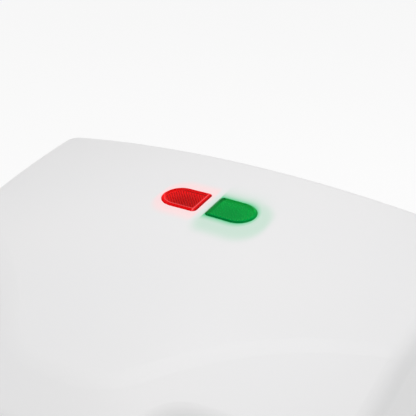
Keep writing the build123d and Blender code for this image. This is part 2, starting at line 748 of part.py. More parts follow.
def latch_clip():
    """Clip that hangs on its pin: a barrel, a blade and the hook at its end."""
    y, z = clip_pin_y(), CLIP_PIN_Z
    half = CLIP_W / 2
    barrel = rod_x(CLIP_BARREL_R, -half, half, y, z)
    low = z - CLIP_LEN
    blade = block(-half, half, FRONT_Y, FRONT_Y + CLIP_T, low, z)
    foot = block(-half, half, FRONT_Y, FRONT_Y + CLIP_T + CLIP_HOOK, low, low + CLIP_T)
    clip = join(barrel, blade, foot)
    lip = block(-half, half, FRONT_Y - CLIP_LIP, FRONT_Y + 1, low, low + 5)
    clip = clip + (lip & rod_x(CLIP_LIP + 3.5, -half, half, FRONT_Y + 3.5, low + 4))
    return clip - rod_x(CLIP_PIN_R + SLIP, -BIG, BIG, y, z)


def latch_pin():
    """Steel pin that the clip turns on, held in the handle's cheeks."""
    half = CLIP_W / 2 + CLIP_SIDE + WALL
    return rod_x(CLIP_PIN_R, -half, half, clip_pin_y(), CLIP_PIN_Z)


def hinge_pins():
    """Two steel pins, fast in the base's lugs."""
    reach = TONGUE_W / 2 + LUG_SIDE + LUG_W
    return [rod_x(PIN_R, s * HINGE_X - reach, s * HINGE_X + reach, HINGE_Y, HINGE_Z) for s in (-1, 1)]


def holder_low():
    """Underside of the lamp holder."""
    return LID_TOP - WALL - LENS_FLANGE_T - HOLDER_DEPTH


def holder_half_w():
    """Half the holder's length over its two chambers."""
    return LENS_GAP / 2 + LENS_STRAIGHT + LENS_R + LENS_FLANGE + HOLDER_WALL


def holder_posts():
    """Places of the posts that carry the lamp holder, beyond the lens flanges."""
    x = holder_half_w() + POST_R + 1
    return (-x, x)


def lamp_holder():
    """White box behind the lenses, with a wall between its two chambers."""
    half = holder_half_w()
    depth = LENS_R + LENS_FLANGE + HOLDER_WALL
    low = holder_low()
    _, ceiling = dome_shell(0, WALL + LENS_FLANGE_T + SLIP)
    box = block(-half, half, LAMP_Y - depth, LAMP_Y + depth, low, LID_TOP) & ceiling
    for s in (-1, 1):
        x0, x1 = sorted((s * HOLDER_WALL / 2, s * (half - HOLDER_WALL)))
        room = block(x0, x1, LAMP_Y - depth + HOLDER_WALL, LAMP_Y + depth - HOLDER_WALL,
                     low + HOLDER_WALL, LID_TOP)
        box = box - room
    for x in holder_posts():
        x0, x1 = sorted((math.copysign(half - HOLDER_WALL, x), x + math.copysign(POST_R, x)))
        tab = block(x0, x1, LAMP_Y - POST_R, LAMP_Y + POST_R, low, low + HOLDER_WALL)
        box = box + tab
        box = box - screw_hole(x, LAMP_Y, 0, BIG)
    for s in (-1, 1):
        box = box - rod_z(WIRE_R + 0.4, low - 1, low + 3, s * lead_hole_x(), LAMP_Y)
    return box


def bulb_x():
    """Distance of a bulb's middle from the lid's middle."""
    return LENS_GAP / 2 + LENS_STRAIGHT / 2 + 1


def bulb_z():
    """Height of the bulbs' axis, clear of the holder's floor."""
    return holder_low() + HOLDER_WALL + BULB_R + 2.5


def lead_hole_x():
    """Distance of a bulb's lead hole from the lid's middle, past the bulb's end."""
    return bulb_x() + BULB_LEN / 2 + 1


def bulb(side):
    """Neon bulb lying across its chamber."""
    mid = side * bulb_x()
    z = bulb_z()
    glass = rod_x(BULB_R, mid - BULB_LEN / 2, mid + BULB_LEN / 2, LAMP_Y, z)
    ends = glass.edges().filter_by(GeomType.CIRCLE)
    return fillet(ends, BULB_R * 0.6)


def bulb_cradle(side):
    """Two small forks that the bulb lies in, part of the holder."""
    mid = side * bulb_x()
    low = holder_low() + HOLDER_WALL / 2
    z = bulb_z()
    forks = []
    for x in (mid - BULB_LEN / 4, mid + BULB_LEN / 4):
        fork = block(x - 0.8, x + 0.8, LAMP_Y - BULB_R - 1, LAMP_Y + BULB_R + 1, low, z)
        forks.append(fork - rod_x(BULB_R + SLIP, x - 2, x + 2, LAMP_Y, z))
    return forks


def resistor(side):
    """Series resistor in its sleeve, under the holder."""
    x = side * (LENS_GAP / 2 + LENS_STRAIGHT)
    z = holder_low() - RESISTOR_R - 0.4
    body = rod_y(RESISTOR_R, LAMP_Y + 4, LAMP_Y + 4 + RESISTOR_LEN, x, z)
    return fillet(body.edges().filter_by(GeomType.CIRCLE), 0.8)


def thermostat():
    """Round snap-disc thermostat against the press plate, with two tabs."""
    top = PRESS_Z - SLIP
    low = top - THERMOSTAT_H
    can = rod_z(THERMOSTAT_R, top - THERMOSTAT_CAN_H, top, 0, PLATE_Y)
    body = rod_z(THERMOSTAT_R - 0.8, low, top - THERMOSTAT_CAN_H, 0, PLATE_Y)
    ear_x, ear_y = THERMOSTAT_R * 1.5, THERMOSTAT_R * 0.44
    ear = block(-ear_x, ear_x, PLATE_Y - ear_y, PLATE_Y + ear_y, top - 0.8, top)
    tabs = [
        block(s * TAB_X - 0.4, s * TAB_X + 0.4, PLATE_Y + 2, PLATE_Y + TAB_END, low + 1, tab_z() + 1.9)
        for s in (-1, 1)
    ]
    return join(can, body, ear, *tabs)


def tab_z():
    """Height of the thermostat's tabs."""
    return PRESS_Z - 4.8


def fuse_axis():
    """Y and Z of the thermal cut-out's axis, just below the press plate."""
    return PLATE_Y + FUSE_SIDE_Y, PRESS_Z - FUSE_R - 0.1 - SLIP


def thermal_fuse():
    """Thermal cut-out, lying under the press plate."""
    y, z = fuse_axis()
    tip_len = FUSE_R * 1.25
    body = rod_x(FUSE_R, FUSE_X, FUSE_X + FUSE_LEN, y, z)
    tip = Pos(FUSE_X - tip_len / 2, y, z) * Rot(0, -90, 0) * Cone(FUSE_R, FUSE_R / 3, tip_len)
    return body + tip


def fuse_clip():
    """Bent strip that holds the thermal cut-out up against the press plate."""
    y, z = fuse_axis()
    top = PRESS_Z - SLIP
    x0 = FUSE_X + (FUSE_LEN - CLIP_STRIP_W) / 2
    x1 = x0 + CLIP_STRIP_W
    bed = rod_x(FUSE_R + SLIP, x0 - 1, x1 + 1, y, z)
    loop = rod_x(FUSE_R + CLIP_STRIP_T, x0, x1, y, z) & block(x0, x1, y - 9, y + 9, z - 9, top)
    foot = block(x0, x1, y + FUSE_R, y + FUSE_R + CLIP_FOOT_LEN, top - CLIP_STRIP_T, top)
    return (loop + foot) - bed


def block_ways():
    """Where the terminal block's three wires enter its front face."""
    y = REAR_Y - BLOCK_FROM_REAR
    return [(BLOCK_X + i * BLOCK_PITCH, y, FLOOR_TOP + BLOCK_WIRE_H) for i in (-1, 0, 1)]


def terminal_block():
    """Ceramic terminal block on the floor, with three wire holes."""
    half = BLOCK_PITCH * 1.5
    _, y0, z = block_ways()[0]
    y1 = y0 + BLOCK_D
    body = block(BLOCK_X - half, BLOCK_X + half, y0, y1, FLOOR_TOP + SLIP, FLOOR_TOP + BLOCK_H)
    for x, _, z in block_ways():
        body = body - rod_y(WIRE_R + 0.6, y0 - 1, y1 + 1, x, z)
        body = body - screw_hole(x, (y0 + y1) / 2, z + 1.5, BIG)
    return body


def terminal_screws():
    """Three clamping screws in the terminal block."""
    top = FLOOR_TOP + BLOCK_H - 1
    return [rod_z(SCREW_R, z + WIRE_R + 0.6, top, x, y + BLOCK_D / 2) for x, y, z in block_ways()]


def cord_gland():
    """Bush in the rear wall: outer flange, neck through the wall, and a bore for the cord."""
    y0 = REAR_Y - WALL * 3 - 3
    neck = rod_y(GLAND_NECK_R, y0, PAD_FACE_Y + 0.5, CORD_X, CORD_Z)
    flange = rod_y(GLAND_FLANGE_R, PAD_FACE_Y + SLIP, PAD_FACE_Y + GLAND_FLANGE_T, CORD_X, CORD_Z)
    flange = fillet(flange.faces().sort_by(Axis.Y)[-1].edges(), 1.2)
    nut = rod_y(GLAND_NECK_R + 2.2, y0, y0 + 2.9, CORD_X, CORD_Z)
    return join(neck, flange, nut) - rod_y(CORD_R, -BIG, BIG, CORD_X, CORD_Z)


def base_leads():
    """Wires of the base: block to heater, heater to thermostat, and thermostat to block."""
    (live_x, y0, z), (mid_x, _, _), _ = block_ways()
    pin_y = HEATER_REAR_Y + HEATER_PIN_LEN + WIRE_END
    w, loop_y = HEATER_HALF_W, pin_y + 7.7
    up = [(loop_y, z), (loop_y, TUBE_Z), (pin_y, TUBE_Z)]
    left = [(live_x, y0 - WIRE_END, z), (live_x, y0 - 9, z), (-w, y0 - 9, z)]
    left += [(-w, y, height) for y, height in up]
    tab_y = PLATE_Y + TAB_END + WIRE_END
    mid = [(mid_x, y0 - WIRE_END, z), (mid_x, y0 - 14, z), (-TAB_X, tab_y + 14, tab_z()),
           (-TAB_X, tab_y, tab_z())]
    right = [(TAB_X, tab_y, tab_z()), (TAB_X, tab_y + 10, tab_z()), (w / 2, y0 - 15, z), (w, y0 - 12, z)]
    right += [(w, y, height) for y, height in up]
    return [wire(points, WIRE_R, WIRE_BEND_R) for points in (left, mid, right)]


def hinge_lead():
    """Sleeved lead from the base up into the barrel, ending on the hinge axis."""
    x = -BARREL_HALF / 2
    z = HINGE_Z - DUCT_H + WALL + BARREL_BORE_R
    points = [(x, REAR_Y - 14, z), (x, HINGE_Y, z), (x, HINGE_Y, HINGE_Z), (BARREL_HALF * 0.2, HINGE_Y, HINGE_Z)]
    return wire(points, LEAD_R, LEAD_BEND_R)


def lid_leads():
    """Wires of the lid: from the barrel to the heater's pins and to the lamps."""
    x = BARREL_HALF / 2
    z = HINGE_Z + DUCT_H - WALL - BARREL_BORE_R
    start = BARREL_HALF * 0.2 + 0.2
    mains = [(start, HINGE_Y, HINGE_Z), (x, HINGE_Y, HINGE_Z), (x, HINGE_Y, z), (x, REAR_Y - 14, z)]
    pin_y = HEATER_REAR_Y + HEATER_PIN_LEN
    up_z = 2 * PART_Z - TUBE_Z
    w = HEATER_HALF_W
    y0 = REAR_Y - 14.3
    out = []
    for s in (-1, 1):
        near = x + s * 1.3
        far = s * w
        out.append([(near, y0, z), (near, y0 - 3.2, z + 4), (near + s * 8, y0 - 3.2, up_z),
                    (far, y0 - 1, up_z), (far, pin_y + 0.3, up_z)])
    lead = wire(mains, LEAD_R, [LEAD_BEND_R, LEAD_BEND_R])
    return [lead] + [wire(points, WIRE_R, 1.8) for points in out]


def lamp_leads():
    """Thin wires from the rear of the lid to the resistors, and on to the bulbs."""
    wires = []
    z = holder_low() - RESISTOR_R - 0.4
    for s in (-1, 1):
        x = s * (LENS_GAP / 2 + LENS_STRAIGHT)
        y1 = LAMP_Y + 4 + RESISTOR_LEN
        wires.append(rod_y(0.7, y1 + 0.2, REAR_Y - 24, x, z))
        hole_x = s * lead_hole_x()
        wires.append(wire([(x, LAMP_Y + 3.8, z), (x, LAMP_Y, z), (hole_x, LAMP_Y, z),
                           (hole_x, LAMP_Y, bulb_z())], 0.5, 0.6))
    return wires


def earth_lead():
    """Earth wire from the terminal block up to its tag on the lower press plate."""
    start_x, y0, z = block_ways()[-1]
    x, y = EARTH_TAG
    tag_t = 0.9
    points = [(start_x, y0 - WIRE_END, z), (start_x, y0 - 16, z), (x, y, z), (x, y, PRESS_Z - tag_t / 2)]
    tag = rod_z(WIRE_R * 3, PRESS_Z - tag_t, PRESS_Z - SLIP, x, y)
    return wire(points, WIRE_R, WIRE_BEND_R - 0.5) + tag


def build():
    """Make every piece and write it."""
    os.makedirs("parts", exist_ok=True)
    save("base_shell", base_shell())
    save("base_cover", base_cover())
    save("rubber_feet", *[rubber_foot(x, y) for x, y in four((FRONT_FOOT, REAR_FOOT))])
    save("base_cover_screws", *[screw(x, y, FOOT_H, 7, False) for x, y in cover_screw_spots()])
    plate, ring, tube, press = hot_plate(), frame_ring(), heater(), press_plate()
    frame_seat = BASE_RIM_Z - SCREW_HEAD_H - SLIP
    frame_screws = Compound(children=[
        screw(x, y, frame_seat, 10) for x, y in four((FRONT_POST, REAR_POST))])
    ear_seat = FRAME_LOW_Z - SLIP - EAR_T
    ear_screws = Compound(children=[screw(x, y, ear_seat, EAR_T + 2, False) for x, y in ear_spots()])
    press_screws = Compound(children=[screw(x, y, PRESS_Z, 8, False) for x, y in stud_spots()])
    pairs = {
        "lower_frame": ring, "lower_plate": plate, "lower_heating_element": tube,
        "lower_press_plate": press, "lower_press_screws": press_screws,
        "lower_plate_screws": ear_screws, "base_screws": frame_screws,
    }
    for name, shape in pairs.items():
        save(name, shape)
        save(name.replace("lower", "upper").replace("base", "lid"), flip(shape))
    save("hinge_pins", *hinge_pins())
    save("thermostat", thermostat())
    save("thermal_fuse", thermal_fuse())
    save("fuse_clip", fuse_clip())
    save("terminal_block", terminal_block())
    save("terminal_screws", *terminal_screws())
    save("cord_gland", cord_gland())
    save("cord_clamp", cord_clamp())
    save("cord_clamp_screws", *[screw(x, clamp_y(), CORD_Z + 4, 7) for x in clamp_screw_spots()])
    save("base_leads", *base_leads())
    save("hinge_lead", hinge_lead())
    save("earth_lead", earth_lead())
    save("lid_shell", lid_shell())
    save("red_lens", lens(-1))
    save("green_lens", lens(1))
    save("lamp_holder", join(lamp_holder(), *bulb_cradle(-1), *bulb_cradle(1)))
    save("lamp_holder_screws", *[screw(x, LAMP_Y, holder_low(), 7, False) for x in holder_posts()])
    save("red_lamp", bulb(-1))
    save("green_lamp", bulb(1))
    save("lamp_resistors", resistor(-1), resistor(1))
    save("lid_leads", *lid_leads())
    save("lamp_leads", *lamp_leads())
    save("latch_pin", latch_pin())
    save("latch_clip", latch_clip())


build()
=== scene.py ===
import math

import bmesh
import bpy
from mathutils import Euler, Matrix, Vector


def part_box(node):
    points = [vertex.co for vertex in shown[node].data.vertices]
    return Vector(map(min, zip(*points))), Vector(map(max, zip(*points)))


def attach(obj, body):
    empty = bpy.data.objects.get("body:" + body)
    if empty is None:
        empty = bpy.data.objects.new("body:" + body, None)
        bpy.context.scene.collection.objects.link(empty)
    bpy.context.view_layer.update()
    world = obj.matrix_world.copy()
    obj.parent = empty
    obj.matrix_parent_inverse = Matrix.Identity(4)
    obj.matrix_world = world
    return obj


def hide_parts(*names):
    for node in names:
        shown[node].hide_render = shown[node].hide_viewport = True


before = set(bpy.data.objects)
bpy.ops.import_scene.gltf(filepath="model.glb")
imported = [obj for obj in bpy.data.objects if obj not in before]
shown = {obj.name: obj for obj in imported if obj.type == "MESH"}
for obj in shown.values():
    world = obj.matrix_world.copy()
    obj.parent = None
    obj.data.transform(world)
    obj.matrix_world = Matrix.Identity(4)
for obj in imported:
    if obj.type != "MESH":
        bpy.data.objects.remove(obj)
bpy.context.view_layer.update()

# Camera. It looks down on the rear left of the closed lid from the front right, close enough for the lid
# to run out of the picture at the left, the bottom and the right.
CAMERA_LENS = 60.6
CAMERA_AZIMUTH = math.radians(28.25)
CAMERA_ELEVATION = math.radians(30.75)
CAMERA_PLACE = (0.1438, -0.2292, 0.2707)

camera = bpy.data.objects.new("camera", bpy.data.cameras.new("camera"))
bpy.context.scene.collection.objects.link(camera)
camera.data.lens = CAMERA_LENS
camera.data.clip_start = 0.01
camera.location = CAMERA_PLACE
camera.rotation_euler = Euler((math.pi / 2 - CAMERA_ELEVATION, 0, CAMERA_AZIMUTH))
bpy.context.scene.camera = camera
bpy.context.scene.view_settings.view_transform = "Standard"

# Studio light. One softbox hangs over the rear of the lid, a little right of its middle, and a pale room
# lights the rest evenly, brighter overhead than at eye level, so that shadows stay faint.
KEY_PLACE = (0.040, 0.085, 0.52)
KEY_SIZE = 0.35
KEY_WATTS = 0.69
KEY_COLOUR = (1.0, 0.975, 0.985)
ROOM_HIGH = (0.88, 0.88, 0.88, 1)
ROOM_LOW = (0.46, 0.46, 0.46, 1)

softbox = bpy.data.objects.new("softbox", bpy.data.lights.new("softbox", "AREA"))
softbox.data.size = KEY_SIZE
softbox.data.energy = KEY_WATTS
softbox.data.color = KEY_COLOUR
softbox.location = KEY_PLACE
softbox.visible_camera = False
bpy.context.scene.collection.objects.link(softbox)
room = bpy.data.worlds.new("room")
room.use_nodes = True
sky = room.node_tree
height = sky.nodes.new("ShaderNodeSeparateXYZ")
sky.links.new(sky.nodes.new("ShaderNodeTexCoord").outputs["Generated"], height.inputs[0])
shade = sky.nodes.new("ShaderNodeValToRGB")
shade.color_ramp.interpolation = "EASE"
shade.color_ramp.elements[0].color = ROOM_LOW
shade.color_ramp.elements[1].color = ROOM_HIGH
sky.links.new(height.outputs["Z"], shade.inputs[0])
sky.links.new(shade.outputs[0], sky.nodes["Background"].inputs["Color"])
bpy.context.scene.world = room

# Tabletop. A plain pale sheet that the cooker stands on, wide enough to have no edge in any view.
# It glows a little, as a lit sheet does. The shorthand that writes every finish is set out here.
TABLE_HALF = 12.0
TABLE_COLOUR = (0.25, 0.25, 0.25, 1)
TABLE_CLOUD = (0.27, 0.27, 0.27, 1)
TABLE_CLOUD_SIZE = 0.4
TABLE_GLOW = (0.705, 0.705, 0.705, 1)


class Value:
    """A number or vector in a finish. Arithmetic on it adds the nodes that work it out."""

    def __init__(self, finish, socket):
        self.finish = finish
        self.socket = socket

    def maths(self, operation, *others):
        inputs = dict(enumerate((self, *others)))
        return self.finish.add("ShaderNodeMath", {"operation": operation}, inputs)

    def __add__(self, other):
        return self.maths("ADD", other)

    def __sub__(self, other):
        return self.maths("SUBTRACT", other)

    def __rsub__(self, other):
        return self.maths("MULTIPLY_ADD", -1.0, other)

    def __mul__(self, other):
        return self.maths("MULTIPLY", other)

    def __truediv__(self, other):
        return self.maths("DIVIDE", other)

    def __pow__(self, other):
        return self.maths("POWER", other)

    def above(self, other):
        return self.maths("MAXIMUM", other)

    def below(self, other):
        return self.maths("MINIMUM", other)

    def over(self, limit):
        return self.maths("GREATER_THAN", limit)

    __radd__ = __add__
    __rmul__ = __mul__


class Finish:
    """A material with one main shader. add() makes any node: its settings first, then its sockets."""

    def __init__(self, name, constants):
        self.material = bpy.data.materials.new(name)
        self.material.use_nodes = True
        self.tree = self.material.node_tree
        self.shader = self.tree.nodes["Principled BSDF"]
        for socket, value in constants.items():
            self.shader.inputs[socket].default_value = value

    def add(self, kind, settings=(), inputs=(), output=0):
        node = self.tree.nodes.new(kind)
        for key, value in dict(settings).items():
            setattr(node, key, value)
        for socket, value in dict(inputs).items():
            self.join(node.inputs[socket], value)
        return Value(self, node.outputs[output])

    def join(self, socket, value):
        if isinstance(value, Value):
            self.tree.links.new(value.socket, socket)
        else:
            socket.default_value = value

    def feed(self, socket, value):
        self.join(self.shader.inputs[socket], value)

    def place(self):
        return self.add("ShaderNodeTexCoord", output="Object")

    def axes(self):
        """X, Y and Z of a place on the cooker, in metres."""
        spot = self.add("ShaderNodeSeparateXYZ", inputs={0: self.place()}).socket.node
        return [Value(self, output) for output in spot.outputs]

    def noise(self, cell, detail=2.0, stretch=(1, 1, 1)):
        """Clouds about one cell across, in metres, drawn out by stretch."""
        spot = self.add("ShaderNodeMapping", inputs={"Vector": self.place(), "Scale": stretch})
        return self.add("ShaderNodeTexNoise", inputs={"Vector": spot, "Scale": 1 / cell, "Detail": detail})

    def mix(self, share, first, second):
        """A colour between two others."""
        return self.add("ShaderNodeMix", {"data_type": "RGBA"}, {0: share, 6: first, 7: second}, 2)

    def relief(self, height, depth):
        """Surface relief from a height of 0 to 1, depth metres deep."""
        bump = self.add("ShaderNodeBump", inputs={"Height": height, "Distance": depth})
        self.feed("Normal", bump)


def dress(finish, *names):
    """Gives CAD pieces their finish."""
    for name in names:
        materials = shown[name].data.materials
        materials.clear()
        materials.append(finish.material)


bpy.ops.mesh.primitive_plane_add(size=TABLE_HALF * 2)
table = bpy.context.object
table.name = "tabletop"
sheet = Finish("pale_tabletop", {"Roughness": 0.85})
sheet.feed("Base Color", sheet.mix(sheet.noise(TABLE_CLOUD_SIZE), TABLE_COLOUR, TABLE_CLOUD))
sheet.feed("Emission Color", TABLE_GLOW)
sheet.feed("Emission Strength", 1.0)
table.data.materials.append(sheet.material)

# Casing. Lid and tub are white mouldings with a satin gloss: broad, barely uneven sheen, and a fine
# orange-peel skin. Around the two lamp windows their light is painted onto the white of the lid: a pink
# and a green tint in its colour, and a faint pink glow in its emission. Each reach is across and along Y,
# and each edge says how sharply that painted light ends.
WHITE_COOL = (0.790, 0.795, 0.800, 1)
WHITE_WARM = (0.815, 0.813, 0.812, 1)
PINK_LIGHT = (0.78, 0.735, 0.74, 1)
PINK_GLOW = (0.17, 0.0, 0.0, 1)
GREEN_LIGHT = (0.08, 0.62, 0.28, 1)
UNLIT = (0, 0, 0, 1)
LAMP_Y = sum(corner.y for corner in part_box("red_lens")) / 2
LENS_R = 0.0102
LENS_END = 0.0097
LENS_NEAR = 0.00255
LENS_FAR = 0.01635
PINK_REACH = (0.0022, 0.0076)
GREEN_REACH = (0.0016, 0.0036)
GREEN_POOL = (0.0045, 0.0100)
POOL_SHIFT = (0.0042, -0.0044)
POOL_SHARE = 0.3
PINK_EDGE, GREEN_EDGE, POOL_EDGE = 4.0, 1.0, 4.0
PINK_DROP, GREEN_DROP, POOL_DROP = 4.0, 9.0, 1.6
PEEL_DEPTH = 0.000012


def white_moulding(name):
    """The casing's plastic, and its colour."""
    paint = Finish(name, {"IOR": 1.5, "Specular IOR Level": 0.3, "Coat Weight": 0.08, "Coat Roughness": 0.2})
    flow = paint.noise(0.07, 1.5)
    peel = paint.noise(0.0009, 3)
    paint.feed("Roughness", flow * 0.06 + peel * 0.05 + 0.27)
    paint.relief(peel, PEEL_DEPTH)
    return paint, paint.mix(flow, WHITE_COOL, WHITE_WARM)


def from_window(finish, side, shift=(0.0, 0.0)):
    """A place seen from a lamp window: outwards, along Y, and how far from its round end's middle."""
    x, y, _ = finish.axes()
    x = x * side - shift[0]
    y = y - (LAMP_Y + shift[1])
    beyond = (x - LENS_FAR).above(0.0) * (LENS_R / LENS_END)
    return x, y, (beyond * beyond + y * y) ** 0.5


def lamp_glow(paint, side, reach, edge, drop, shift=(0.0, 0.0)):
    """How strongly a lamp colours the white round its window: 1 at the window, 0 further out.
    Towards the other window it fades drop times as fast."""
    across, along = reach
    x, y, radius = from_window(paint, side, shift)
    outside = (radius - LENS_R).above(0.0)
    inward = (LENS_NEAR - x).above(0.0) * drop
    distance = (outside * outside + inward * inward) ** 0.5
    slant = (y * y) / (radius * radius + 1e-8)
    share = distance / (slant * (along - across) + across)
    return (share ** edge * -1.0).maths("EXPONENT")


tub_white, tub_colour = white_moulding("white_casing")
tub_white.feed("Base Color", tub_colour)
dress(tub_white, "base_shell")

lid_white, lid_colour = white_moulding("white_lid")
# Painted lamp light on the lid: pink and green tints mixed into its colour, and a faint pink glow in its
# emission.
pink = lamp_glow(lid_white, -1.0, PINK_REACH, PINK_EDGE, PINK_DROP)
green = lamp_glow(lid_white, 1.0, GREEN_REACH, GREEN_EDGE, GREEN_DROP)
pool = lamp_glow(lid_white, 1.0, GREEN_POOL, POOL_EDGE, POOL_DROP, POOL_SHIFT)
lid_colour = lid_white.mix(pink, lid_colour, PINK_LIGHT)
lid_colour = lid_white.mix(green.above(pool * POOL_SHARE), lid_colour, GREEN_LIGHT)
lid_white.feed("Base Color", lid_colour)
lid_white.feed("Emission Color", lid_white.mix(pink, UNLIT, PINK_GLOW))
lid_white.feed("Emission Strength", 1.0)
dress(lid_white, "lid_shell")

# Lamp windows. Clear coloured caps, pressed in from inside the lid, with a bevelled rim standing proud.
# Small pyramids moulded on their inner face spread the light of the bulbs.
BEVEL = 0.0014
PROUD = 0.0008
WALL_TOP = 0.0001
DOME_R = 0.800
DOME_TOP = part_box("lid_shell")[1].z
APEX_Y = 0.022
FOOT_DEPTH = 0.0035
CAP_T = 0.0016
SIDE_T = 0.0013
CORNER_R = 0.0024
TRAY_GAP = 0.00012
RIM_W = 0.0016
RIM_SOFT = 4.0
END_SHADE = 0.0014
END_DIM = 0.55
FACET_DARK = 0.35
DIM_X = 0.012
DIM_Y = -0.0035
DIM_REACH = 0.011
PRISM = 0.00125
PRISM_H = 0.0005
PRISM_ANGLE = math.radians(52)
TRAY_FLOOR = PROUD - CAP_T - PRISM_H * 1.1
CREST = ((0.1, 0.17), (0.75, 0.84), (0.9, 0.96), (1.0, 1.0), (1.12, 0.96), (1.35, 0.85), (2.2, 0.82))


def crown_z(x, y):
    """Height of the lid's top."""
    return DOME_TOP - DOME_R + math.sqrt(DOME_R ** 2 - x ** 2 - (y - APEX_Y) ** 2)


def arc(cx, cy, r, start, end, steps):
    """Points along an arc, between two angles in degrees."""
    angles = [math.radians(start + (end - start) * i / steps) for i in range(steps + 1)]
    return [(cx + r * math.cos(a), cy + r * math.sin(a)) for a in angles]


def window_outline(side, inset):
    """A window from above: a round outer end, long sides and a straight inner end."""
    near, half = LENS_NEAR + inset, LENS_R - inset
    r = max(CORNER_R - inset, 0.0003)
    points = [(LENS_FAR + x * (LENS_END - inset), y * half) for x, y in arc(0, 0, 1, -90, 90, 40)]
    points += arc(near + r, half - r, r, 90, 180, 8)
    points += arc(near + r, r - half, r, 180, 270, 8)
    return [(side * x, LAMP_Y + y) for x, y in points]


def ring(mesh, side, inset, rise):
    """One row of points round a window, rise above the lid."""
    return [mesh.verts.new((x, y, crown_z(x, y) + rise)) for x, y in window_outline(side, inset)]


def skin(mesh, rings):
    """Faces between rows of points."""
    for low, high in zip(rings, rings[1:]):
        for i in range(len(low)):
            j = (i + 1) % len(low)
            mesh.faces.new((low[i], low[j], high[j], high[i]))


def finished(mesh, name, finish):
    """A mesh as a smooth-edged object, with its faces turned outwards."""
    bmesh.ops.remove_doubles(mesh, verts=mesh.verts, dist=1e-7)
    bmesh.ops.recalc_face_normals(mesh, faces=mesh.faces)
    data = bpy.data.meshes.new(name)
    mesh.to_mesh(data)
    mesh.free()
    data.materials.append(finish.material)
    data.shade_smooth()
    data.set_sharp_from_angle(angle=math.radians(32))
    piece = bpy.data.objects.new(name, data)
    bpy.context.scene.collection.objects.link(piece)
    return piece


def window_cap(side, name, clear):
    """The clear cap: an upright wall, a bevel with a rounded crest, and a top dished by a hair."""
    mesh = bmesh.new()
    rise = PROUD - WALL_TOP
    outer = [ring(mesh, side, 0, -FOOT_DEPTH), ring(mesh, side, 0, WALL_TOP)]
    outer += [ring(mesh, side, BEVEL * inset, WALL_TOP + rise * height) for inset, height in CREST]
    inner = [ring(mesh, side, SIDE_T, -FOOT_DEPTH), ring(mesh, side, SIDE_T, PROUD - CAP_T)]
    skin(mesh, [inner[-1], inner[0], *outer])
    mesh.faces.new(outer[-1])
    mesh.faces.new(inner[-1])
    return finished(mesh, name, clear)


def tree_node(tree, kind, settings, inputs):
    """A node of a pattern: its settings first, then its sockets."""
    node = tree.nodes.new(kind)
    for key, value in settings.items():
        setattr(node, key, value)
    for socket, value in inputs.items():
        if isinstance(value, bpy.types.NodeSocket):
            tree.links.new(value, node.inputs[socket])
        else:
            node.inputs[socket].default_value = value
    return node


def repeated(name, points, stone_kind, settings, stone_inputs, sizes, finish):
    """Copies of one small solid at the given points, as a plain mesh. sizes are its named X, Y and Z."""
    tree = bpy.data.node_groups.new(name, "GeometryNodeTree")
    tree.interface.new_socket("Geometry", in_out="INPUT", socket_type="NodeSocketGeometry")
    tree.interface.new_socket("Geometry", in_out="OUTPUT", socket_type="NodeSocketGeometry")
    knobs = [tree.interface.new_socket(key, in_out="INPUT", socket_type="NodeSocketFloat") for key in sizes]
    entry = tree_node(tree, "NodeGroupInput", {}, {})
    stone = tree_node(tree, stone_kind, settings, stone_inputs)
    scale = tree_node(tree, "ShaderNodeCombineXYZ", {}, {i: entry.outputs[i + 1] for i in range(3)})
    copies = tree_node(tree, "GeometryNodeInstanceOnPoints", {}, {
        "Points": entry.outputs[0], "Instance": stone.outputs["Mesh"], "Scale": scale.outputs[0]})
    real = tree_node(tree, "GeometryNodeRealizeInstances", {}, {"Geometry": copies.outputs[0]})
    painted = tree_node(tree, "GeometryNodeSetMaterial", {}, {
        "Geometry": real.outputs[0], "Material": finish.material})
    tree_node(tree, "NodeGroupOutput", {}, {0: painted.outputs[0]})
    seed = bpy.data.objects.new(name + "_points", bpy.data.meshes.new(name + "_points"))
    seed.data.from_pydata(points, [], [])
    bpy.context.scene.collection.objects.link(seed)
    modifier = seed.modifiers.new(name, "NODES")
    modifier.node_group = tree
    for knob, value in zip(knobs, sizes.values()):
        modifier[knob.identifier] = value
    graph = bpy.context.evaluated_depsgraph_get()
    mesh = bpy.data.meshes.new_from_object(seed.evaluated_get(graph), depsgraph=graph)
    bpy.data.objects.remove(seed)
    return mesh


def in_window(x, y, margin):
    """Whether a place, its x measured outwards, lies inside a window by a margin."""
    reach = LENS_R - margin
    if x < LENS_NEAR + margin:
        return False
    beyond = max(x - LENS_FAR, 0) * LENS_R / LENS_END
    return math.hypot(beyond, y) < reach


def prism_spots(side):
    """Where the pyramids stand: in diamonds, clear of the cap's wall."""
    step_x, step_y = PRISM / math.sin(PRISM_ANGLE), PRISM / math.cos(PRISM_ANGLE)
    rows = int(LENS_R / step_y) * 2 + 2
    columns = int((LENS_FAR + LENS_R) / step_x) + 1
    spots = []
    for row in range(-rows, rows + 1):
        for column in range(columns):
            x, y = step_x * (column + 0.5 * (row % 2)), step_y * 0.5 * row
            if in_window(x, y, SIDE_T + PRISM * 0.7):
                spots.append((side * x, LAMP_Y + y, crown_z(x, LAMP_Y + y) + TRAY_FLOOR))
    return spots


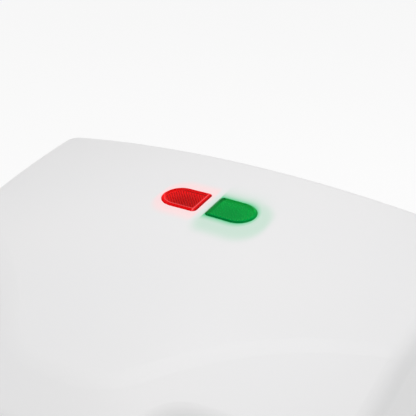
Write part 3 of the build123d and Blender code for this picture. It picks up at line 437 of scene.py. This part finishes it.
def window_core(side, name, lit):
    """What shows through a cap: a lit tray with upright sides, and the pyramids on its floor."""
    mesh = bmesh.new()
    top, lip = PROUD - CAP_T - TRAY_GAP, SIDE_T + TRAY_GAP
    rows = [ring(mesh, side, lip, -FOOT_DEPTH), ring(mesh, side, lip, top)]
    rows += [ring(mesh, side, lip + 2 * TRAY_GAP, top), ring(mesh, side, lip + 2 * TRAY_GAP, TRAY_FLOOR)]
    skin(mesh, rows)
    mesh.faces.new(rows[-1])
    mesh.faces.new(rows[0])
    bmesh.ops.recalc_face_normals(mesh, faces=mesh.faces)
    sizes = {"Width": PRISM / math.sin(PRISM_ANGLE), "Depth": PRISM / math.cos(PRISM_ANGLE)}
    sizes["Height"] = PRISM_H
    pyramid = {"Vertices": 4, "Radius Bottom": 0.5, "Depth": 1.0}
    spots = prism_spots(side)
    mesh.from_mesh(repeated(name + "_prisms", spots, "GeometryNodeMeshCone", {}, pyramid, sizes, lit))
    data = bpy.data.meshes.new(name)
    mesh.to_mesh(data)
    mesh.free()
    data.materials.append(lit.material)
    piece = bpy.data.objects.new(name, data)
    bpy.context.scene.collection.objects.link(piece)
    return piece


def clear_plastic(name, side, tint, sheen, rim, painted_crest_line):
    """Clear coloured plastic. Light trapped in it leaves at the rim, dimmer at the straight end, and a line
    is painted into the emission along the crest: a painted highlight on the red window, a dark line on the
    green.
    """
    clear = Finish(name, {"Transmission Weight": 1.0, "IOR": 1.1, "Specular IOR Level": 0.2,
                          "Specular Tint": sheen})
    x, y, radius = from_window(clear, side)
    end = (x - LENS_NEAR).below(1.0)
    inset = (LENS_R - radius).below(end)
    edge = (1.0 - (inset / RIM_W) ** RIM_SOFT).above(0.0)
    line_at, line_w, end_at, line_colour = painted_crest_line
    front = (y / -LENS_R).above(0.0) * (1.0 - (inset - line_at).maths("ABSOLUTE") / line_w)
    line = front.above(1.0 - (end - end_at).maths("ABSOLUTE") / line_w).above(0.0)
    wavy = clear.mix(clear.noise(0.004), tint, [c * 0.93 for c in tint])
    rim_light = clear.mix((end / END_SHADE).below(1.0), [c * END_DIM for c in rim], rim)
    clear.feed("Base Color", clear.mix(edge.above(line), wavy, UNLIT))
    clear.feed("Emission Color", clear.mix(line, clear.mix(edge, UNLIT, rim_light), line_colour))
    clear.feed("Emission Strength", 1.0)
    clear.feed("Roughness", clear.noise(0.0015) * 0.04 + 0.02)
    return clear


def lit_plastic(name, side, bright, dim, dark, contrast):
    """Light in the prisms: dimmest in front of the middle, with each facet shaded by the way it faces."""
    lit = Finish(name, {"Roughness": 0.5, "Specular IOR Level": 0.0})
    facing = lit.add("ShaderNodeNewGeometry", output="Normal")
    ridge = (math.sin(PRISM_ANGLE), math.cos(PRISM_ANGLE), 0)
    lean = lit.add("ShaderNodeVectorMath", {"operation": "DOT_PRODUCT"}, {0: facing, 1: ridge}, "Value")
    x, y, _ = from_window(lit, side)
    aside = (x - DIM_X) / DIM_REACH
    ahead = (y - DIM_Y) / DIM_REACH
    share = (aside * aside + ahead * ahead).below(1.0)
    colour = lit.mix(share, dim, bright)
    colour = lit.mix((FACET_DARK - lean * contrast).above(0.0).below(1.0), colour, dark)
    lit.feed("Emission Color", colour)
    lit.feed("Emission Strength", 1.0)
    lit.feed("Base Color", lit.mix(share, [c * 0.15 for c in dark], [c * 0.4 for c in dark]))
    return lit


# Lines painted along each cap's crest: a painted highlight on the red window, and a dark line on the green.
RED_PAINTED_HIGHLIGHT = (0.0018, 0.0005, 0.0016, (0.86, 0.11, 0.12, 1))
GREEN_PAINTED_LINE = (0.0006, 0.0009, 0.0013, (0.0, 0.09, 0.018, 1))
WINDOWS = (
    ("red", -1, ((1.0, 0.15, 0.15, 1), (1.0, 0.1, 0.1, 1), (0.66, 0.003, 0.004, 1), RED_PAINTED_HIGHLIGHT),
     ((0.92, 0.034, 0.040, 1), (0.58, 0.020, 0.018, 1), (0.22, 0.006, 0.005, 1), 1.2)),
    ("green", 1, ((0.1, 1.0, 0.5, 1), (0.1, 1.0, 0.3, 1), (0.0, 0.26, 0.045, 1), GREEN_PAINTED_LINE),
     ((0.0, 0.31, 0.092, 1), (0.0, 0.29, 0.090, 1), (0.0, 0.22, 0.06, 1), 0.3)),
)
for hue, side, cap_colours, light_colours in WINDOWS:
    cap = window_cap(side, hue + "_window", clear_plastic("clear_" + hue, side, *cap_colours))
    core = window_core(side, hue + "_prisms", lit_plastic("lit_" + hue, side, *light_colours))
    for piece in (cap, core):
        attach(piece, "lid")
    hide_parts(hue + "_lens")

# Lamp holder and bulbs. A white moulded box of two chambers hangs under the windows, and in each lies a
# small glass bulb with a series resistor in a sleeve below.
holder_white = Finish("holder_plastic", {})
holder_colour = holder_white.mix(holder_white.noise(0.01), (0.8, 0.8, 0.78, 1), (0.86, 0.86, 0.84, 1))
holder_white.feed("Base Color", holder_colour)
holder_white.feed("Roughness", holder_white.noise(0.001) * 0.1 + 0.45)
dress(holder_white, "lamp_holder")

bulb_glass = Finish("bulb_glass", {"Transmission Weight": 1.0, "IOR": 1.5})
bulb_colour = bulb_glass.mix(bulb_glass.noise(0.003), (1, 0.9, 0.86, 1), (0.95, 0.8, 0.75, 1))
bulb_glass.feed("Base Color", bulb_colour)
bulb_glass.feed("Roughness", bulb_glass.noise(0.002) * 0.03 + 0.01)
dress(bulb_glass, "red_lamp", "green_lamp")

sleeve = Finish("resistor_sleeve", {"Roughness": 0.5})
sleeve.feed("Base Color", sleeve.mix(sleeve.noise(0.002, 3), (0.46, 0.36, 0.24, 1), (0.6, 0.5, 0.36, 1)))
sleeve.relief(sleeve.noise(0.0006), 0.00004)
dress(sleeve, "lamp_resistors")

# Hot plates. Cast aluminium under a black non-stick coat, which is slightly pebbled and carries fine
# pale flecks.
coat = Finish("nonstick_coat", {"Coat Weight": 0.15, "Coat Roughness": 0.3})
pebble = coat.noise(0.0007, 3)
fleck = coat.noise(0.0005, 0.0).over(0.72)
coat_colour = coat.mix(coat.noise(0.03), (0.020, 0.020, 0.021, 1), (0.030, 0.029, 0.029, 1))
coat.feed("Base Color", coat.mix(fleck * 0.5, coat_colour, (0.16, 0.16, 0.16, 1)))
coat.feed("Roughness", pebble * 0.16 + 0.34)
coat.relief(pebble, 0.00003)
dress(coat, "lower_plate", "upper_plate")

# Frames. A dark heat-resistant moulding closes the gap between each plate and its shell, with a fine
# spark-eroded grain.
grain_black = Finish("frame_plastic", {"IOR": 1.5})
grain = grain_black.noise(0.0004, 2)
frame_cloud = grain_black.noise(0.02)
frame_colour = grain_black.mix(frame_cloud, (0.032, 0.032, 0.034, 1), (0.045, 0.045, 0.047, 1))
grain_black.feed("Base Color", frame_colour)
grain_black.feed("Roughness", grain * 0.2 + 0.48)
grain_black.relief(grain, 0.00004)
dress(grain_black, "lower_frame", "upper_frame")

# Heaters. Steel tubes that have run hot, blue and brown in bands, held against the plates by pressed
# aluminium sheets.
hot_steel = Finish("heated_steel", {"Metallic": 1.0})
tint = hot_steel.noise(0.02, 2)
hot_colour = hot_steel.mix(tint, (0.34, 0.27, 0.20, 1), (0.25, 0.28, 0.33, 1))
hot_steel.feed("Base Color", hot_steel.mix(hot_steel.noise(0.001, 3) * 0.3, hot_colour, (0.1, 0.09, 0.08, 1)))
hot_steel.feed("Roughness", hot_steel.noise(0.0012) * 0.2 + 0.35)
dress(hot_steel, "lower_heating_element", "upper_heating_element")

mill = Finish("mill_aluminium", {"Metallic": 1.0})
rolled = mill.noise(0.0006, 3, (0.04, 1, 1))
mill.feed("Base Color", mill.mix(rolled, (0.62, 0.63, 0.64, 1), (0.76, 0.77, 0.78, 1)))
mill.feed("Roughness", rolled * 0.18 + 0.3)
mill.relief(rolled, 0.00001)
dress(mill, "lower_press_plate", "upper_press_plate")

# Fasteners and pins. Zinc-plated screws with a dull, slightly cloudy sheen, and ground steel pins.
zinc = Finish("zinc_plate", {"Metallic": 1.0})
zinc.feed("Base Color", zinc.mix(zinc.noise(0.0015, 3), (0.55, 0.56, 0.57, 1), (0.72, 0.72, 0.70, 1)))
zinc.feed("Roughness", zinc.noise(0.0008) * 0.2 + 0.24)
dress(zinc, "base_screws", "lid_screws", "base_cover_screws", "lower_press_screws", "upper_press_screws",
      "lower_plate_screws", "upper_plate_screws", "lamp_holder_screws", "cord_clamp_screws",
      "terminal_screws")

ground = Finish("ground_steel", {"Metallic": 1.0})
turned = ground.noise(0.0003, 2, (1, 0.1, 0.1))
ground.feed("Base Color", ground.mix(turned, (0.52, 0.52, 0.53, 1), (0.66, 0.66, 0.66, 1)))
ground.feed("Roughness", turned * 0.15 + 0.2)
dress(ground, "hinge_pins", "latch_pin", "fuse_clip")

# Latch clip. A pale grey moulding that turns on its steel pin, with raised ribs for the thumb.
RIB_W = 0.026
RIB_T = 0.0008
RIB_PITCH = 0.0035
RIBS = 5
RIB_DEEP = 0.0015
RIB_LOW = 0.011
clip_grey = Finish("latch_plastic", {"IOR": 1.5})
clip_peel = clip_grey.noise(0.0008, 3)
clip_colour = clip_grey.mix(clip_grey.noise(0.02), (0.60, 0.605, 0.61, 1), (0.64, 0.64, 0.645, 1))
clip_grey.feed("Base Color", clip_colour)
clip_grey.feed("Roughness", clip_peel * 0.08 + 0.3)
clip_grey.relief(clip_peel, 0.000015)
dress(clip_grey, "latch_clip")

clip_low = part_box("latch_clip")[0]
rib_y = clip_low.y + RIB_DEEP
rib_z = clip_low.z + RIB_LOW
rib_spots = [(0, rib_y, rib_z + i * RIB_PITCH) for i in range(RIBS)]
rib_sizes = {"Length": RIB_W, "Depth": RIB_T, "Height": RIB_T * 1.4}
rib_mesh = repeated("latch_ribs", rib_spots, "GeometryNodeMeshCube", {}, {}, rib_sizes, clip_grey)
ribs = bpy.data.objects.new("latch_grip_ribs", rib_mesh)
bpy.context.scene.collection.objects.link(ribs)
round_over = ribs.modifiers.new("rounded", "BEVEL")
round_over.width = 0.0003
round_over.segments = 3
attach(ribs, "latch")

# Underside. A dark vented cover closes the floor, and four soft black feet are pushed into it.
cover_grey = Finish("cover_plastic", {"IOR": 1.5})
cover_grain = cover_grey.noise(0.0005, 2)
cover_colour = cover_grey.mix(cover_grey.noise(0.03), (0.05, 0.05, 0.052, 1), (0.065, 0.065, 0.067, 1))
cover_grey.feed("Base Color", cover_colour)
cover_grey.feed("Roughness", cover_grain * 0.2 + 0.45)
cover_grey.relief(cover_grain, 0.00004)
dress(cover_grey, "base_cover")

rubber = Finish("foot_rubber", {"Specular IOR Level": 0.35})
bloom = rubber.noise(0.004, 3)
rubber.feed("Base Color", rubber.mix(bloom, (0.018, 0.018, 0.018, 1), (0.034, 0.034, 0.033, 1)))
rubber.feed("Roughness", bloom * 0.15 + 0.7)
rubber.relief(rubber.noise(0.0006), 0.00005)
dress(rubber, "rubber_feet")

# Heat control. A drawn aluminium cap on a dark body for the thermostat, a plated case for the cut-out,
# and a glazed ceramic block for the mains wires.
cap_metal = Finish("thermostat_case", {})
_, _, up = cap_metal.axes()
metal = up.over(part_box("thermostat")[1].z - 0.0026)
cap_metal.feed("Metallic", metal)
cap_metal.feed("Base Color", cap_metal.mix(metal, (0.03, 0.02, 0.018, 1), (0.7, 0.7, 0.69, 1)))
cap_metal.feed("Roughness", cap_metal.noise(0.001) * 0.15 + 0.35)
dress(cap_metal, "thermostat")

fuse_metal = Finish("fuse_case", {"Metallic": 1.0})
fuse_colour = fuse_metal.mix(fuse_metal.noise(0.002, 3), (0.62, 0.5, 0.28, 1), (0.7, 0.6, 0.4, 1))
fuse_metal.feed("Base Color", fuse_colour)
fuse_metal.feed("Roughness", fuse_metal.noise(0.0007) * 0.2 + 0.25)
dress(fuse_metal, "thermal_fuse")

ceramic = Finish("block_ceramic", {"Coat Weight": 0.5, "Coat Roughness": 0.1})
ceramic.feed("Base Color", ceramic.mix(ceramic.noise(0.003, 3), (0.72, 0.69, 0.62, 1), (0.8, 0.78, 0.72, 1)))
ceramic.feed("Roughness", ceramic.noise(0.001) * 0.15 + 0.4)
dress(ceramic, "terminal_block")

# Cord entry. A black moulded bush is snapped into the rear wall, with a dark clamp screwed down inside
# it. The bush is empty, because no cord is fitted.
bush_black = Finish("gland_plastic", {"IOR": 1.5})
bush_grain = bush_black.noise(0.0005, 2)
bush_colour = bush_black.mix(bush_black.noise(0.01), (0.022, 0.022, 0.023, 1), (0.034, 0.034, 0.035, 1))
bush_black.feed("Base Color", bush_colour)
bush_black.feed("Roughness", bush_grain * 0.2 + 0.42)
bush_black.relief(bush_grain, 0.00004)
dress(bush_black, "cord_gland", "cord_clamp")

# Wiring. Stranded leads in woven glass sleeves, and an earth lead in green and yellow.
woven = Finish("lead_sleeve", {"Roughness": 0.85, "Sheen Weight": 0.2})
warp = woven.add("ShaderNodeTexWave", {"bands_direction": "DIAGONAL"},
                 {"Vector": woven.place(), "Scale": 900.0, "Distortion": 1.5}, "Fac")
weft = woven.noise(0.0003, 1)
woven.feed("Base Color", woven.mix(warp * 0.6 + weft * 0.3, (0.66, 0.62, 0.54, 1), (0.82, 0.8, 0.74, 1)))
woven.relief(warp, 0.00006)
dress(woven, "base_leads", "lid_leads", "lamp_leads", "hinge_lead")

earth = Finish("earth_sleeve", {"Roughness": 0.42})
turns = earth.add("ShaderNodeTexWave", {"bands_direction": "DIAGONAL"},
                  {"Vector": earth.place(), "Scale": 60.0}, "Fac")
earth.feed("Base Color", earth.mix(turns.over(0.5), (0.62, 0.52, 0.03, 1), (0.05, 0.28, 0.05, 1)))
earth.relief(earth.noise(0.0005), 0.00002)
dress(earth, "earth_lead")
